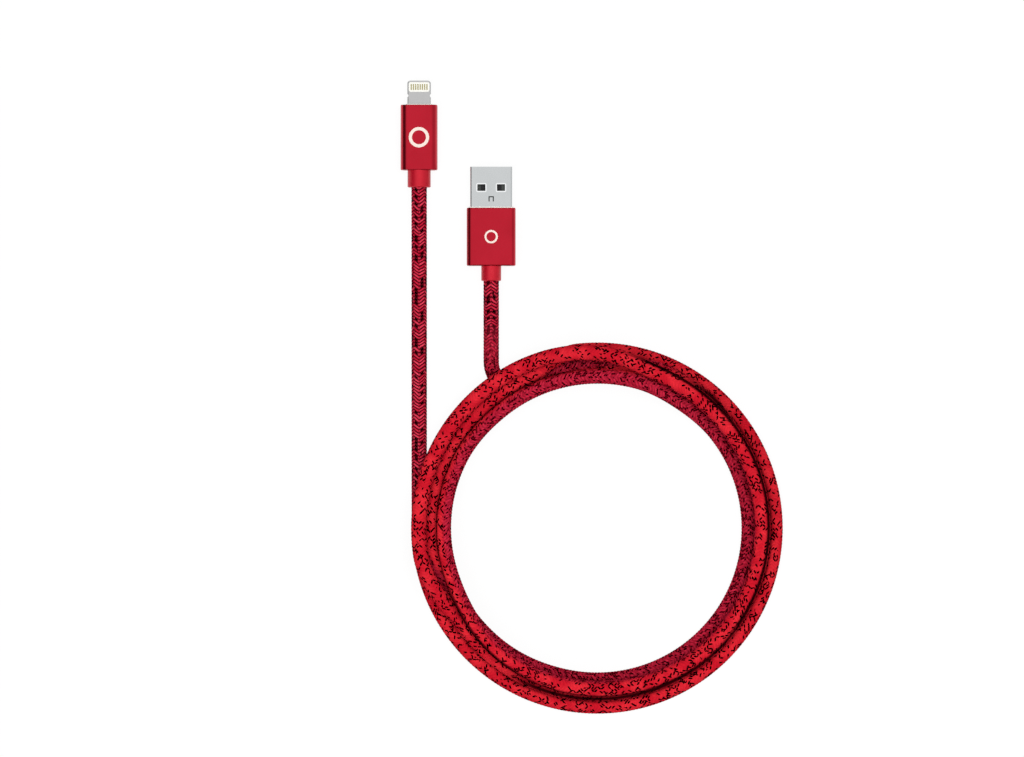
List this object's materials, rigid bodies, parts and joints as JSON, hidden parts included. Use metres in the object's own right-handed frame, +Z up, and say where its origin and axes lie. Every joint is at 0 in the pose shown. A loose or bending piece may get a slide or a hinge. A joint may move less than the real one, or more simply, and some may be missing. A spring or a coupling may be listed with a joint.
{
  "type": "charging cable",
  "caption": "Braided charging cable laid in a flat coil, with a rectangular steel-shelled plug on one end and a slim rounded tab plug on the other, both in metal housings.",
  "frame": {"origin": "middle of the coil, on the surface that the cable lies on", "axes": "+Z up from that surface, +Y from the coil towards both plugs and along them, +X to the right as seen from above with the plugs pointing away"},
  "size_m": [0.1094, 0.1811, 0.0145],
  "materials": {
    "plated_steel": "satin nickel plating",
    "black_plastic": "moulded",
    "white_plastic": "moulded",
    "gold": "gold plating",
    "tinned": "tin plating",
    "board": "solder mask",
    "red_wire": "insulation",
    "white_wire": "insulation",
    "green_wire": "insulation",
    "black_wire": "insulation",
    "red_aluminium": "anodised, fine satin",
    "braid": "braided nylon yarn with black flecks"
  },
  "bodies": {
    "root": {"usb_shell": "plated_steel", "usb_tongue": "black_plastic", "usb_back": "black_plastic", "usb_contact_1": "gold", "usb_contact_2": "gold", "usb_contact_3": "gold", "usb_contact_4": "gold", "usb_wire_1": "red_wire", "usb_wire_2": "white_wire", "usb_wire_3": "green_wire", "usb_wire_4": "black_wire", "usb_core": "white_plastic", "usb_ferrule": "tinned", "usb_jacket": "braid", "usb_housing": "red_aluminium", "usb_relief": "red_aluminium", "device_tab": "plated_steel", "device_insert": "white_plastic", "device_pad_top_1": "gold", "device_pad_top_2": "gold", "device_pad_top_3": "gold", "device_pad_top_4": "gold", "device_pad_top_5": "gold", "device_pad_top_6": "gold", "device_pad_top_7": "gold", "device_pad_top_8": "gold", "device_pad_low_1": "gold", "device_pad_low_2": "gold", "device_pad_low_3": "gold", "device_pad_low_4": "gold", "device_pad_low_5": "gold", "device_pad_low_6": "gold", "device_pad_low_7": "gold", "device_pad_low_8": "gold", "device_board": "board", "device_chip": "black_plastic", "device_can": "tinned", "device_wire_1": "red_wire", "device_wire_2": "white_wire", "device_wire_3": "green_wire", "device_wire_4": "black_wire", "device_core": "white_plastic", "device_ferrule": "tinned", "device_jacket": "braid", "device_housing": "red_aluminium", "device_relief": "red_aluminium", "lead_device": "braid", "coil": "braid", "lead_usb": "braid"}
  },
  "joints": []
}
